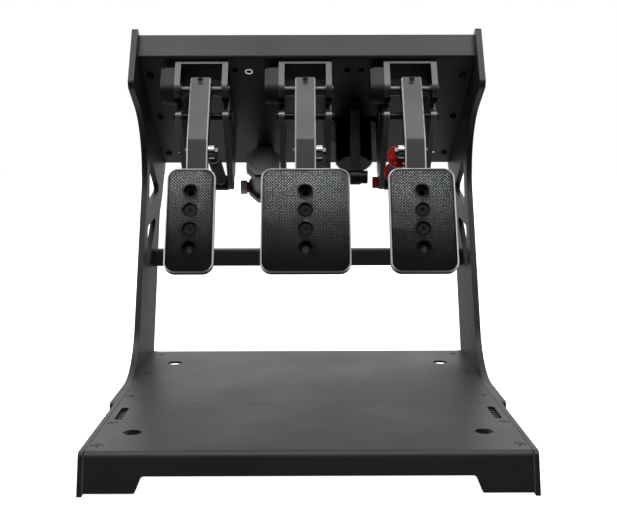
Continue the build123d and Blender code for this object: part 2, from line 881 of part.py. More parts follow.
def coil_spring(plane, length, wire, turns):
    """One unbroken wire: straight ends along the axis, a bend into each end turn, and the turns between."""
    bend = wire
    climb = (length - 2 * (wire + bend)) / turns
    slope = math.atan2(climb, 2 * math.pi * spring_mean_radius)
    bend_side = bend * (1 - math.sin(slope))
    bend_rise = bend * math.cos(slope)
    first_rise = (length - turns * climb) / 2
    steps = turns * arcs_per_turn

    def coil_point(step):
        angle = math.pi + 2 * math.pi * step / arcs_per_turn
        x = spring_mean_radius * math.cos(angle)
        y = spring_mean_radius * math.sin(angle)
        place = point_on(plane, x, y, first_rise + climb * step / arcs_per_turn)
        around = vector_on(plane, -math.sin(angle), math.cos(angle), 0)
        return place, around * math.cos(slope) + plane.z_dir * math.sin(slope), around

    route = [coil_point(step) for step in range(steps + 1)]
    low, low_along, low_around = route[0]
    high, high_along, high_around = route[-1]
    bend_foot = low - low_around * bend_side - plane.z_dir * bend_rise
    bend_head = high + high_around * bend_side + plane.z_dir * bend_rise
    samples = []
    with BuildPart() as spring:
        with BuildLine() as path:
            Line(bend_foot - plane.z_dir * (first_rise - bend_rise), bend_foot)
            TangentArc(bend_foot, low, tangent=plane.z_dir)
            for (start, start_along, _), (end, end_along, _) in zip(route, route[1:]):
                middle, middle_along = biarc(start, start_along, end, end_along)
                TangentArc(start, middle, tangent=start_along)
                TangentArc(middle, end, tangent=middle_along)
                samples.extend([start, middle])
            TangentArc(high, bend_head, tangent=high_along)
            Line(bend_head, bend_head + plane.z_dir * (first_rise - bend_rise))
        with BuildSketch(Plane(origin=path.line @ 0, z_dir=plane.z_dir)):
            Circle(wire / 2)
        sweep(path=path.line)
    near_steps = arcs_per_turn
    gap = min(
        (samples[i] - samples[j]).length
        for i in range(len(samples))
        for j in range(i + near_steps, len(samples))
    )
    print(f"spring of {turns} turns: least gap to itself {gap - wire:.2f} mm")
    return spring


cup_faces = {
    "clutch": link_length - cup_distance,
    "brake": link_length - cup_distance,
    "throttle": link_length - throttle_cup_distance,
}
plate_widths = {
    "clutch": clutch_plate_width,
    "brake": brake_plate_width,
    "throttle": throttle_plate_width,
}
plate_shifts = {"clutch": -plate_outset, "brake": 0.0, "throttle": plate_outset}
link_sides = {"clutch": 1, "brake": 1, "throttle": -1}

for pedal, pedal_x in pedal_places.items():
    link_side = link_sides[pedal]
    link_x = pedal_x + link_side * link_offset
    plate_x = pedal_x + plate_shifts[pedal]
    cup_face = cup_faces[pedal]
    screw_columns = [(pedal_x + side * ear_middle, pivot_run) for side in (-1, 1)]

    # Bracket: a block with a web on the deck and two round-nosed ears
    with BuildPart() as bracket:
        with BuildSketch(module_plane(pedal_x)):
            with Locations((pivot_run, -pivot_drop / 2)):
                Rectangle(2 * ear_radius, pivot_drop)
            with Locations((pivot_run, -pivot_drop)):
                Circle(ear_radius)
        extrude(amount=outer_gap, both=True)
        with BuildSketch(module_plane(pedal_x)):
            with Locations((pivot_run, -bracket_web - pivot_drop)):
                Rectangle(2 * ear_radius + 2 * overrun, 2 * pivot_drop)
        extrude(amount=ear_gap / 2, both=True, mode=Mode.SUBTRACT)
        with BuildSketch(module_plane(pedal_x)):
            with Locations((pivot_run, -pivot_drop)):
                Circle(bush_radius + running_gap)
        extrude(amount=outer_gap + overrun, both=True, mode=Mode.SUBTRACT)
        with BuildSketch(deck_plane(-overrun)):
            with Locations(*screw_columns):
                Circle(module_screw_radius + running_gap)
        extrude(amount=-module_screw_length - overrun, mode=Mode.SUBTRACT)
    save(bracket, f"{pedal}_bracket")

    # Gusset plates, one behind each ear
    with BuildPart() as side_plates:
        for side in (-1, 1):
            with BuildSketch(module_plane(pedal_x + side * ear_gap / 2)):
                with BuildSketch(mode=Mode.PRIVATE) as beam:
                    with Locations((stop_run, -stop_drop)):
                        Circle(stop_boss_radius)
                    with Locations((anchor_run, -anchor_drop)):
                        Circle(anchor_boss_radius)
                    make_hull()
                add(beam.sketch)
                with BuildLine():
                    Polyline(
                        (gusset_start, 0),
                        (gusset_start, -stop_drop),
                        (anchor_run, -anchor_drop),
                        (gusset_end_run, -gusset_end_drop),
                        (gusset_end_run, 0),
                        close=True,
                    )
                make_face()
                with BuildLine():
                    FilletPolyline(
                        *[(run, -drop) for run, drop in gusset_window],
                        radius=gusset_window_radius,
                        close=True,
                    )
                make_face(mode=Mode.SUBTRACT)
                with Locations((stop_run, -stop_drop)):
                    Circle(stop_shaft_radius + running_gap, mode=Mode.SUBTRACT)
                with Locations((anchor_run, -anchor_drop)):
                    Circle(anchor_journal_radius + running_gap, mode=Mode.SUBTRACT)
            extrude(amount=side * ear_thickness)
        gusset_columns = [
            (pedal_x + side * ear_middle, run)
            for side in (-1, 1)
            for run in (gusset_start + gusset_screw_inset, gusset_end_run - gusset_screw_inset)
        ]
        with BuildSketch(deck_plane(-overrun)):
            with Locations(*gusset_columns):
                Circle(module_screw_radius + running_gap)
        extrude(amount=-module_screw_length - overrun, mode=Mode.SUBTRACT)
    save(side_plates, f"{pedal}_side_plates")

    # Angle sensor on the left ear
    with BuildPart() as sensor:
        with BuildSketch(module_plane(pedal_x - outer_gap)):
            with Locations((pivot_run, -(sensor_near_drop + pivot_drop) / 2)):
                Rectangle(2 * ear_radius, pivot_drop - sensor_near_drop)
            with Locations((pivot_run, -pivot_drop)):
                Circle(ear_radius)
        extrude(amount=-sensor_width + sensor_lid_width)
        with BuildSketch(module_plane(pedal_x - outer_gap - sensor_width + sensor_lid_width)):
            with Locations((pivot_run, -(sensor_near_drop + pivot_drop + sensor_lid_step) / 2)):
                Rectangle(2 * (ear_radius - sensor_lid_step), pivot_drop - sensor_near_drop - sensor_lid_step)
            with Locations((pivot_run, -pivot_drop)):
                Circle(ear_radius - sensor_lid_step)
        extrude(amount=-sensor_lid_width)
        with BuildSketch(module_plane(pedal_x - outer_gap)):
            with Locations((pivot_run, -pivot_drop)):
                Circle(journal_radius + seat_gap)
        extrude(amount=-journal_tail - seat_gap, mode=Mode.SUBTRACT)
    save(sensor, f"{pedal}_angle_sensor")

    # Axle: clamped in the arm, with thinner journals in the bushes and a tail in the sensor
    axle_half = ear_gap / 2 - bush_flange_thickness - running_gap
    with BuildPart() as axle:
        with BuildSketch(pivot_plane(pedal_x)):
            Circle(axle_radius)
        extrude(amount=axle_half, both=True)
        with BuildSketch(pivot_plane(pedal_x - outer_gap - journal_tail)):
            Circle(journal_radius)
        extrude(amount=2 * outer_gap + journal_tail + running_gap)
        with BuildSketch(pivot_plane(pedal_x + outer_gap + running_gap)):
            Circle(keeper_radius)
        extrude(amount=keeper_thickness)
    save(axle, f"{pedal}_axle")

    # Arm: a cranked bar with a round eye behind its head
    with BuildPart() as arm:
        with BuildSketch(pivot_plane(pedal_x)):
            with BuildLine():
                FilletPolyline(
                    head_front,
                    knee_front,
                    foot_front,
                    foot_back,
                    knee_back,
                    head_back,
                    radius=[0, arm_knee_radius, 0, 0, arm_knee_radius, 0],
                    close=True,
                )
            make_face()
            Circle(arm_eye_radius)
        extrude(amount=arm_width / 2, both=True)
        chamfer(arm.faces().filter_by(Axis.X).edges(), arm_edge_chamfer)
        with BuildSketch(pivot_plane(pedal_x)):
            Circle(axle_radius + running_gap)
            with Locations(pin_side):
                Circle(link_pin_radius + running_gap)
        extrude(amount=arm_width, both=True, mode=Mode.SUBTRACT)
        with BuildSketch(plate_plane(plate_x, plate_thickness)):
            with GridLocations(0, plate_hole_pitch, 1, plate_hole_count - 2):
                Circle(plate_screw_radius + running_gap)
        extrude(amount=-arm_shank_length / 2, mode=Mode.SUBTRACT)
        with BuildSketch(clamp_plane(pedal_x)):
            Circle(screw_radius + running_gap)
        extrude(amount=-arm_face_offset, mode=Mode.SUBTRACT)
    save(arm, f"{pedal}_arm")

    # Adaptor: a wedge between the arm's face and the plate
    with BuildPart() as adaptor:
        with BuildSketch(pivot_plane(plate_x)):
            with BuildLine():
                Polyline(adaptor_top, adaptor_foot, adaptor_foot_back, adaptor_top_back, close=True)
            make_face()
        extrude(amount=adaptor_width / 2, both=True)
        chamfer(adaptor.edges().filter_by(Axis.X), adaptor_edge_chamfer)
        with BuildSketch(plate_plane(plate_x, plate_thickness)):
            with GridLocations(0, plate_hole_pitch, 1, plate_hole_count):
                Circle(plate_bore_radius)
        extrude(amount=-arm_shank_length / 2, mode=Mode.SUBTRACT)
    save(adaptor, f"{pedal}_adaptor")

    # Pedal plate with its counterbored holes
    with BuildPart() as plate:
        with BuildSketch(plate_plane(plate_x, plate_thickness)):
            RectangleRounded(plate_widths[pedal], plate_height, plate_corner_radius)
        extrude(amount=plate_thickness)
        toward_driver = Axis((0, 0, 0), plate_plane(plate_x, 0).z_dir)
        chamfer(plate.faces().sort_by(toward_driver)[-1].edges(), plate_chamfer)
        with Locations(plate_plane(plate_x, 0)):
            with GridLocations(0, plate_hole_pitch, 1, plate_hole_count):
                CounterBoreHole(
                    radius=plate_bore_radius,
                    counter_bore_radius=plate_counterbore_radius,
                    counter_bore_depth=plate_counterbore_depth,
                    depth=plate_thickness + overrun,
                )
    save(plate, f"{pedal}_plate")

    # Two screws that clamp plate and adaptor to the arm, and the screw that locks the axle
    seat_depth = plate_counterbore_depth
    shank_length = (adaptor_top_back - adaptor_top).length / 2 + (adaptor_foot_back - adaptor_foot).length / 2
    shank_length += plate_thickness - plate_counterbore_depth + plate_screw_bite
    clamp_screw = button_screws(
        clamp_plane(pedal_x),
        [(0, 0)],
        button_head_radius,
        button_head_height,
        screw_radius,
        arm_face_offset - axle_radius - running_gap,
    )
    with BuildPart() as screws:
        with BuildSketch(plate_plane(plate_x, seat_depth)):
            with GridLocations(0, plate_hole_pitch, 1, plate_hole_count - 2):
                Circle(plate_screw_head_radius)
        extrude(amount=plate_screw_head_height)
        with BuildSketch(plate_plane(plate_x, seat_depth)):
            with GridLocations(0, plate_hole_pitch, 1, plate_hole_count - 2):
                Circle(plate_screw_radius)
        extrude(amount=-shank_length)
        with BuildSketch(plate_plane(plate_x, seat_depth - plate_screw_head_height)):
            with GridLocations(0, plate_hole_pitch, 1, plate_hole_count - 2):
                RegularPolygon(plate_screw_socket_radius, 6)
        extrude(amount=-plate_screw_socket_depth, mode=Mode.SUBTRACT)
        add(clamp_screw)
    save(screws, f"{pedal}_screws")

    # Cross pin through the arm, headed on one side and with a nut outside the link's eye
    pin_start = -link_side * arm_width / 2
    eye_outer = link_offset + eye_thickness / 2
    with BuildPart() as link_pin:
        with BuildSketch(pivot_plane(pedal_x + pin_start)):
            with Locations(pin_side):
                Circle(link_pin_radius)
        extrude(amount=link_side * (arm_width / 2 + eye_outer + link_nut_gap + link_nut_thickness))
        with BuildSketch(pivot_plane(pedal_x + pin_start)):
            with Locations(pin_side):
                Circle(link_pin_head_radius)
        extrude(amount=-link_side * link_pin_head_thickness)
        with BuildSketch(pivot_plane(pedal_x + link_side * (eye_outer + link_nut_gap))):
            with Locations(pin_side):
                RegularPolygon(link_nut_radius, 6)
        extrude(amount=link_side * link_nut_thickness)
    save(link_pin, f"{pedal}_link_pin")

    # Link rod with its eye
    rod_end = link_length + trunnion_radius + rod_tail
    with BuildPart() as link_rod:
        with BuildSketch(pivot_plane(link_x)):
            with Locations(pin_side):
                Circle(eye_radius)
        extrude(amount=eye_thickness / 2, both=True)
        with BuildSketch(link_plane(link_x, 0)):
            Circle(rod_radius)
        extrude(amount=rod_end)
        with BuildSketch(pivot_plane(link_x)):
            with Locations(pin_side):
                Circle(link_pin_radius + link_play)
        extrude(amount=eye_thickness, both=True, mode=Mode.SUBTRACT)
    save(link_rod, f"{pedal}_link_rod")

    # Preload nut, a drilled wheel on the throttle and a grooved nut on the others
    if pedal == "throttle":
        nut_length = wheel_thickness + preload_nut_thickness / 2
    else:
        nut_length = preload_nut_thickness
    with BuildPart() as preload_nut:
        if pedal == "throttle":
            with BuildSketch(link_plane(link_x, preload_station)):
                Circle(wheel_radius)
                with PolarLocations(wheel_hole_circle_radius, wheel_hole_count):
                    Circle(wheel_hole_radius, mode=Mode.SUBTRACT)
            extrude(amount=wheel_thickness)
            with BuildSketch(link_plane(link_x, preload_station)):
                Circle(hub_radius)
            extrude(amount=nut_length)
        else:
            with BuildSketch(link_plane(link_x, preload_station)):
                Circle(preload_nut_radius)
                with PolarLocations(preload_nut_radius, preload_nut_grooves):
                    Circle(preload_groove_radius, mode=Mode.SUBTRACT)
            extrude(amount=preload_nut_thickness)
        with BuildSketch(link_plane(link_x, preload_station)):
            Circle(rod_radius + running_gap)
        extrude(amount=nut_length, mode=Mode.SUBTRACT)
    save(preload_nut, f"{pedal}_preload_nut")

    # Spring or elastomers between the nut and the cup
    spring_start = preload_station + nut_length + seat_gap
    spring_length = cup_face - spring_start
    if pedal == "brake":
        washers = elastomer_count - 1
        pad = (spring_length - washers * elastomer_washer) / elastomer_count
        with BuildPart() as elastomers:
            for index in range(elastomer_count):
                station = spring_start + index * (pad + elastomer_washer)
                with BuildSketch(link_plane(link_x, station)):
                    Circle(elastomer_radius)
                extrude(amount=pad)
                if index < washers:
                    with BuildSketch(link_plane(link_x, station + pad)):
                        Circle(elastomer_radius - elastomer_edge_radius / 2)
                    extrude(amount=elastomer_washer)
            with BuildSketch(link_plane(link_x, spring_start)):
                Circle(rod_radius + elastomer_bore_play)
            extrude(amount=spring_length, mode=Mode.SUBTRACT)
        save(elastomers, "brake_elastomers")
    elif pedal == "clutch":
        save(
            coil_spring(link_plane(link_x, spring_start), spring_length, clutch_wire, clutch_turns),
            "clutch_spring",
        )
    else:
        save(
            coil_spring(link_plane(link_x, spring_start), spring_length, throttle_wire, throttle_turns),
            "throttle_spring",
        )

    # Link guide: the spring's cup, a neck, and a trunnion that swings in the gusset plates
    disc_radius = throttle_cup_radius if pedal == "throttle" else cup_radius
    with BuildPart() as link_guide:
        with BuildSketch(link_plane(link_x, cup_face)):
            Circle(disc_radius)
        extrude(amount=cup_thickness)
        with BuildSketch(link_plane(link_x, cup_face)):
            Circle(cup_neck_radius)
        extrude(amount=link_length - cup_face)
        with BuildSketch(pivot_plane(pedal_x)):
            with Locations(anchor_side):
                Circle(trunnion_radius)
        extrude(amount=ear_gap / 2 - trunnion_side_gap, both=True)
        with BuildSketch(pivot_plane(pedal_x)):
            with Locations(anchor_side):
                Circle(anchor_journal_radius)
        extrude(amount=outer_gap, both=True)
        with BuildSketch(link_plane(link_x, cup_face - overrun)):
            Circle(rod_radius + running_gap)
        extrude(amount=link_length + trunnion_radius, mode=Mode.SUBTRACT)
        if pedal == "throttle":
            with BuildSketch(pivot_plane(pedal_x - outer_gap - overrun)):
                with Locations(anchor_side):
                    Circle(lock_spindle_radius + running_gap)
            extrude(amount=lock_spindle_length + seat_gap + overrun, mode=Mode.SUBTRACT)
    save(link_guide, f"{pedal}_link_guide")

# Stop bolts across the three pairs of gusset plates, and the six pivot bushes
stop_from_pivot = deck_down * (stop_run - pivot_run)
stop_from_pivot -= Vector(sine(deck_tilt), cosine(deck_tilt)) * (stop_drop - pivot_drop)
with BuildPart() as stop_bolts:
    for pedal_x in pedal_places.values():
        with BuildSketch(pivot_plane(pedal_x)):
            with Locations(stop_from_pivot):
                Circle(stop_radius)
        extrude(amount=ear_gap / 2, both=True)
        with BuildSketch(pivot_plane(pedal_x)):
            with Locations(stop_from_pivot):
                Circle(stop_shaft_radius)
        extrude(amount=outer_gap, both=True)
        for side in (-1, 1):
            with BuildSketch(pivot_plane(pedal_x + side * outer_gap)):
                with Locations(stop_from_pivot):
                    Circle(stop_head_radius)
            extrude(amount=side * stop_head_thickness)
save(stop_bolts, "stop_bolts")

with BuildPart() as pivot_bushes:
    for pedal_x in pedal_places.values():
        for side in (-1, 1):
            with BuildSketch(pivot_plane(pedal_x + side * (ear_gap / 2 - bush_flange_thickness))):
                Circle(bush_flange_radius)
                Circle(journal_radius + running_gap, mode=Mode.SUBTRACT)
            extrude(amount=side * bush_flange_thickness)
            with BuildSketch(pivot_plane(pedal_x + side * (ear_gap / 2 - bush_flange_thickness))):
                Circle(bush_radius)
                Circle(journal_radius + running_gap, mode=Mode.SUBTRACT)
            extrude(amount=side * (bush_flange_thickness + ear_thickness))
save(pivot_bushes, "pivot_bushes")


def octagon(half_width):
    """A regular octagon with flats at its sides, top and bottom."""
    return RegularPolygon(half_width, 8, major_radius=False, rotation=22.5)


def canister_plane(station):
    """Plane across the capped canister at a station behind its front, facing down the deck."""
    origin = deck_point(cap_canister_x, cap_canister_run + station, cap_canister_drop)
    return Plane(origin=origin, x_dir=(1, 0, 0), z_dir=along_deck)


# Capped canister: two octagonal blocks on a round waist, held by a pedestal under the deck
rear_block = cap_canister_length - octagon_thickness
adjuster_station = cap_canister_length - octagon_thickness / 2
adjuster_face = cap_canister_x - octagon_half_width
adjuster_origin = deck_point(adjuster_face, cap_canister_run + adjuster_station, cap_canister_drop)
adjuster_plane = Plane(origin=adjuster_origin, x_dir=(0, 1, 0), z_dir=(-1, 0, 0))
with BuildPart() as capped_canister:
    with BuildSketch(canister_plane(cap_thickness)):
        octagon(octagon_half_width)
    extrude(amount=octagon_thickness)
    with BuildSketch(canister_plane(rear_block)):
        octagon(octagon_half_width)
    extrude(amount=octagon_thickness)
    with BuildSketch(canister_plane(cap_thickness)):
        Circle(canister_waist_radius)
    extrude(amount=cap_canister_length - cap_thickness)
    with BuildSketch(deck_plane(0)):
        with Locations((cap_canister_x, pedestal_run)):
            Rectangle(pedestal_width, pedestal_length)
    extrude(amount=-cap_canister_drop)
    with BuildSketch(deck_plane(0)):
        with Locations(*pedestal_places):
            Circle(module_screw_radius + running_gap)
    extrude(amount=-module_screw_length, mode=Mode.SUBTRACT)
    with BuildSketch(adjuster_plane):
        Circle(adjuster_spindle_radius + running_gap)
    extrude(amount=-adjuster_spindle_length - seat_gap, mode=Mode.SUBTRACT)
save(capped_canister, "capped_canister")

with BuildPart() as canister_cap:
    with BuildSketch(canister_plane(0)):
        octagon(octagon_half_width)
    extrude(amount=cap_thickness)
    chamfer(canister_cap.faces().sort_by(Axis.Y)[0].edges(), octagon_chamfer)
    with BuildSketch(canister_plane(0)):
        Circle(cap_ring_radius)
        Circle(cap_ring_radius - cap_ring_width, mode=Mode.SUBTRACT)
    extrude(amount=cap_ring_depth, mode=Mode.SUBTRACT)
save(canister_cap, "canister_cap")


with BuildPart() as adjuster_knob:
    with BuildSketch(adjuster_plane.offset(seat_gap)):
        Circle(adjuster_collar_radius)
    extrude(amount=adjuster_collar_length)
    with BuildSketch(adjuster_plane.offset(seat_gap + adjuster_collar_length)):
        add(knurled_outline(adjuster_radius))
    extrude(amount=adjuster_length)
    with BuildSketch(adjuster_plane.offset(seat_gap)):
        Circle(adjuster_spindle_radius)
    extrude(amount=-adjuster_spindle_length)
save(adjuster_knob, "adjuster_knob")

# Flanged canister hanging square to the deck
with BuildPart() as flanged_canister:
    with BuildSketch(deck_plane(0)):
        with Locations((flange_canister_x, flange_canister_run)):
            RectangleRounded(can_flange_width, can_flange_depth, can_flange_corner)
    extrude(amount=-can_flange_thickness)
    with BuildSketch(deck_plane(0)):
        with Locations((flange_canister_x, flange_canister_run)):
            Circle(can_radius)
    extrude(amount=-can_drop)
    chamfer(flanged_canister.faces().sort_by(Axis((0, 0, 0), -above_deck))[-1].edges(), can_rim_chamfer)
    with BuildSketch(deck_plane(0)):
        with Locations(*can_screw_places):
            Circle(module_screw_radius + running_gap)
    extrude(amount=-can_flange_thickness - overrun, mode=Mode.SUBTRACT)
save(flanged_canister, "flanged_canister")

# Strut in front of the flanged canister with a cross bolt through its eye
with BuildPart() as canister_strut:
    with BuildSketch(module_plane(flange_canister_x)):
        with Locations((strut_foot_run, -strut_foot_thickness / 2)):
            Rectangle(strut_foot_length, strut_foot_thickness)
        with BuildLine():
            Polyline(
                (strut_foot_run, 0),
                (strut_foot_run + strut_thickness, 0),
                (strut_end_run + strut_thickness / 2, -strut_end_drop),
                (strut_end_run - strut_thickness / 2, -strut_end_drop),
                close=True,
            )
        make_face()
        with Locations((strut_end_run, -strut_end_drop)):
            Circle(strut_eye_radius)
    extrude(amount=strut_width / 2, both=True)
    with BuildSketch(module_plane(flange_canister_x)):
        with Locations((strut_end_run, -strut_end_drop)):
            Circle(cross_bolt_radius)
    extrude(amount=cross_bolt_length / 2, both=True)
    with BuildSketch(deck_plane(0)):
        with Locations(strut_screw_place):
            Circle(module_screw_radius + running_gap)
    extrude(amount=-strut_foot_thickness, mode=Mode.SUBTRACT)
save(canister_strut, "canister_strut")

# Lock knob on the throttle's anchor
throttle_x = pedal_places["throttle"]
anchor_origin = deck_point(throttle_x - outer_gap, anchor_run, anchor_drop)
lock_plane = Plane(origin=anchor_origin, x_dir=(0, 1, 0), z_dir=(-1, 0, 0))
with BuildPart() as lock_knob:
    with BuildSketch(lock_plane.offset(lock_knob_gap)):
        add(knurled_outline(lock_knob_radius))
    extrude(amount=lock_knob_length)
    with BuildSketch(lock_plane.offset(lock_knob_gap)):
        Circle(lock_spindle_radius)
    extrude(amount=-lock_spindle_length - lock_knob_gap)
save(lock_knob, "lock_knob")

# Control box on feet above the deck, with sockets that reach down through it
box_floor = -sheet - box_stand
with BuildPart() as control_box:
    with BuildSketch(deck_plane(box_floor)):
        with Locations((box_centre_x, box_centre_run)):
            RectangleRounded(box_width, box_depth, box_corner_radius)
    extrude(amount=box_height)
    with BuildSketch(deck_plane(-sheet)):
        with Locations((box_centre_x, box_centre_run)):
            with GridLocations(box_width - 2 * box_foot_side_inset, box_depth - 2 * box_foot_inset, 2, 2):
                Circle(box_foot_radius)
    extrude(amount=box_stand)
    with BuildSketch(deck_plane(0)):
        with Locations(*socket_places):
            Circle(socket_radius)
    extrude(amount=sheet + box_stand)
    with BuildSketch(deck_plane(0)):
        with Locations(*socket_places):
            Circle(socket_bore_radius)
    extrude(amount=socket_bore_depth, mode=Mode.SUBTRACT)
save(control_box, "control_box")
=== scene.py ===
import json
import math

import bmesh
import bpy
from mathutils import Matrix, Vector


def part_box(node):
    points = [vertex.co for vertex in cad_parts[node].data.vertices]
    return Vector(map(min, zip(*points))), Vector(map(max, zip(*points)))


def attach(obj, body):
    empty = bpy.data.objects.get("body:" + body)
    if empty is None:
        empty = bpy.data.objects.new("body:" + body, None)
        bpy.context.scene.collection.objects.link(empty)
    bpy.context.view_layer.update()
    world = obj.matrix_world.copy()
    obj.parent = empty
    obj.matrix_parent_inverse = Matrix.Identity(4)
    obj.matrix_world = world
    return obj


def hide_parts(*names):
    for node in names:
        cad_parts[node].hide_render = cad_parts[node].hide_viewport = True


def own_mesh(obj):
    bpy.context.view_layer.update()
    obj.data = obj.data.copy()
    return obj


# Looks of a sim racing pedal set. Lengths are in metres, angles in degrees.

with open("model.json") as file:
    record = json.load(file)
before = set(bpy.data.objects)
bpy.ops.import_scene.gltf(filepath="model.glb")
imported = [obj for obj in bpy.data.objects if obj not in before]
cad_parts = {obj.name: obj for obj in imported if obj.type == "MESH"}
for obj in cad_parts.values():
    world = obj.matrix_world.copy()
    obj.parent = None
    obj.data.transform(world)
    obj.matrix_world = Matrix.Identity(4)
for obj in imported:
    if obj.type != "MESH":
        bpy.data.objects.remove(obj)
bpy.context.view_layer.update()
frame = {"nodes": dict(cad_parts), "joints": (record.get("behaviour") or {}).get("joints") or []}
nodes = frame["nodes"]
joints = {joint["name"]: joint for joint in frame["joints"]}

# Sizes that the dressing shares with the solids
heel_depth = 0.469
plate_tilt = 25.0
arm_lean = 33.7
plate_thickness = 0.009
plate_height = 0.139
plate_corner = 0.014
plate_rim = 0.0018
plate_hole_radius = 0.009
plate_hole_pitch = 0.0252
plate_hole_count = 4
deck_tilt = 32.5
fold_reach = 0.3927
fold_height = 0.4632
lamp_x = -0.080
lamp_run = 0.031
lamp_ring_radius = 0.0047
lamp_ring_wire = 0.0007
trunnion_radius = 0.011
collar_start = 0.0094
collar_end = 0.0126
spindle_radius = 0.003
clamp_head_depth = 0.012
pedals = ("clutch", "brake", "throttle")
across = Vector((1, 0, 0))

# Factors on a round form's radius, within or beyond which its faces are told apart
round_slack = 1.02
spindle_slack = 1.1

# Ranges of a face's slope, as the cosine against a direction
chamfer_low, chamfer_high = 0.35, 0.93
cone_low, cone_high = 0.1, 0.9
edge_sharp, edge_flat = 0.9, 0.995

# Pyramid grip on the pedal plates
grip_pitch = 0.00275
grip_height = 0.0006
grip_fill = 0.72
grip_margin = 0.0004
grip_sink = 0.00005

# Camera, set where the photograph was taken from
image_width = 617
focal_pixels = 950.0
sensor_width = 36.0
camera_tilt = 6.92
camera_yaw = -0.19
camera_roll = -0.14
camera_side = -0.00267
camera_back = 0.91892
camera_height = 0.33906
camera_reach = 20

# Lamp ring's light and the fineness of its mesh
lamp_tint = (0.9, 0.95, 1, 1)
lamp_glow = 0.5
lamp_steps = 48
lamp_sides = 8

# Softboxes over and before the set
top_light_place = (0.0, -0.9, 2.2)
top_light_target = (0, 0.05, 0.3)
top_light_width = 2.4
top_light_height = 0.9
top_light_power = 20
front_light_place = (0.0, -2.4, 1.3)
front_light_target = (0, 0, 0.3)
front_light_width = 2.4
front_light_height = 0.5
front_light_power = 0.8

# Strip light along the plates' upper edges, placed from the top of the brake plate
strip_offset = Vector((0, -0.07, 0.033))
strip_aim = 0.03
strip_width = 0.5
strip_height = 0.02
strip_power = 8
strip_spread = 85

# Brightness of the studio around the set
back_glow = 0.95
top_glow = 0.7
low_glow = 0.3
side_glow = 0.8
floor_glow = 1.0

# Where each glow starts and ends, by the direction's reach along its axis, squared for the sides
back_start, back_end = 0.1, 0.75
horizon_start, horizon_end = -0.12, 0.1
horizon_share = 0.35
top_start, top_end = 0.3, 0.9
low_start, low_end = -0.9, -0.3
side_start, side_end = 0.55, 0.9

# Floor
floor_half = 12
floor_drop = 0.0005
floor_rough = 0.9
shade_glow = 0.01
floor_white = (0.95, 0.95, 0.95)
painted_shade_colour = (0.01, 0.01, 0.01)

# Stretch of the floor painted dark as the heel plates' shadow, counted from their front edge
shade_start = 0.1
shade_end = 0.46
shade_half_width = 0.235
shade_edge = 0.008

front_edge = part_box("heel_plate_rear")[1].y - heel_depth

# Grain of the materials: noise scales per metre, bump heights, and shares of a roughness or tone
cloud_low, cloud_high = 0.3, 0.7
coat_cloud_scale = 9.0
coat_edge = 0.0009
metal_cloud_scale = 14.0
metal_edge = 0.0006
metal_share = 0.85
metal_bump = 0.00001
drawn_shares = (0.85, 1.15)
grain_shares = (0.9, 1.1)
stud_grain_scale = 900.0
smear_stretch = (1, 4, 1)
smear_scale = 120.0
smear_tone_share = 0.85
smear_shares = (0.7, 1.4)
mould_cloud_scale = 20.0
bevel_samples = 4


# Materials

def fresh(name):
    """A material with an empty node tree and a shader joined to its output."""
    material = bpy.data.materials.new(name)
    material.use_nodes = True
    tree = material.node_tree
    tree.nodes.clear()
    output = tree.nodes.new("ShaderNodeOutputMaterial")
    shader = tree.nodes.new("ShaderNodeBsdfPrincipled")
    tree.links.new(shader.outputs["BSDF"], output.inputs["Surface"])
    return material, tree, shader


def node(tree, kind, **values):
    """A node of that kind with its named inputs or settings filled in."""
    made = tree.nodes.new(kind)
    for key, value in values.items():
        socket = key.replace("_", " ").title()
        if socket in made.inputs:
            made.inputs[socket].default_value = value
        else:
            setattr(made, key, value)
    return made


def coordinates(tree, stretch=(1, 1, 1)):
    """Object coordinates, multiplied along each axis."""
    place = tree.nodes.new("ShaderNodeTexCoord")
    mapping = tree.nodes.new("ShaderNodeMapping")
    mapping.inputs["Scale"].default_value = stretch
    tree.links.new(place.outputs["Object"], mapping.inputs["Vector"])
    return mapping.outputs["Vector"]


def noise(tree, vector, scale, detail=3.0):
    """Cloudy noise of a scale, with that many steps of finer detail."""
    made = node(tree, "ShaderNodeTexNoise", scale=scale, detail=detail, roughness=0.5)
    tree.links.new(vector, made.inputs["Vector"])
    return made.outputs["Fac"]


def ramp(tree, value, low, high, start=0.0, end=1.0):
    """The value, carried from the range start to end over to low to high."""
    made = tree.nodes.new("ShaderNodeMapRange")
    made.inputs["From Min"].default_value = start
    made.inputs["From Max"].default_value = end
    made.inputs["To Min"].default_value = low
    made.inputs["To Max"].default_value = high
    tree.links.new(value, made.inputs["Value"])
    return made.outputs["Result"]


def mixed(tree, factor, first, second):
    """Two colours mixed by a factor."""
    made = tree.nodes.new("ShaderNodeMix")
    made.data_type = "RGBA"
    tree.links.new(factor, made.inputs["Factor"])
    for socket, colour in (("A", first), ("B", second)):
        target = [s for s in made.inputs if s.name == socket and s.type == "RGBA"][0]
        if isinstance(colour, tuple):
            target.default_value = (*colour, 1)
        else:
            tree.links.new(colour, target)
    return [s for s in made.outputs if s.type == "RGBA"][0]


def bump(tree, height, distance):
    """Relief of a height, at full strength."""
    made = node(tree, "ShaderNodeBump", strength=1.0, distance=distance)
    tree.links.new(height, made.inputs["Height"])
    return made


def edge_wear_and_highlight(tree, radius):
    """A factor, one on sharp edges and zero on flat stretches, that lightens edges as part wear and part
    painted highlight, and the rounded normal.
    """
    round_edge = tree.nodes.new("ShaderNodeBevel")
    round_edge.samples = bevel_samples
    round_edge.inputs["Radius"].default_value = radius
    surface = tree.nodes.new("ShaderNodeNewGeometry")
    dot = tree.nodes.new("ShaderNodeVectorMath")
    dot.operation = "DOT_PRODUCT"
    tree.links.new(round_edge.outputs["Normal"], dot.inputs[0])
    tree.links.new(surface.outputs["True Normal"], dot.inputs[1])
    return ramp(tree, dot.outputs["Value"], 0, 1, edge_flat, edge_sharp), round_edge.outputs["Normal"]


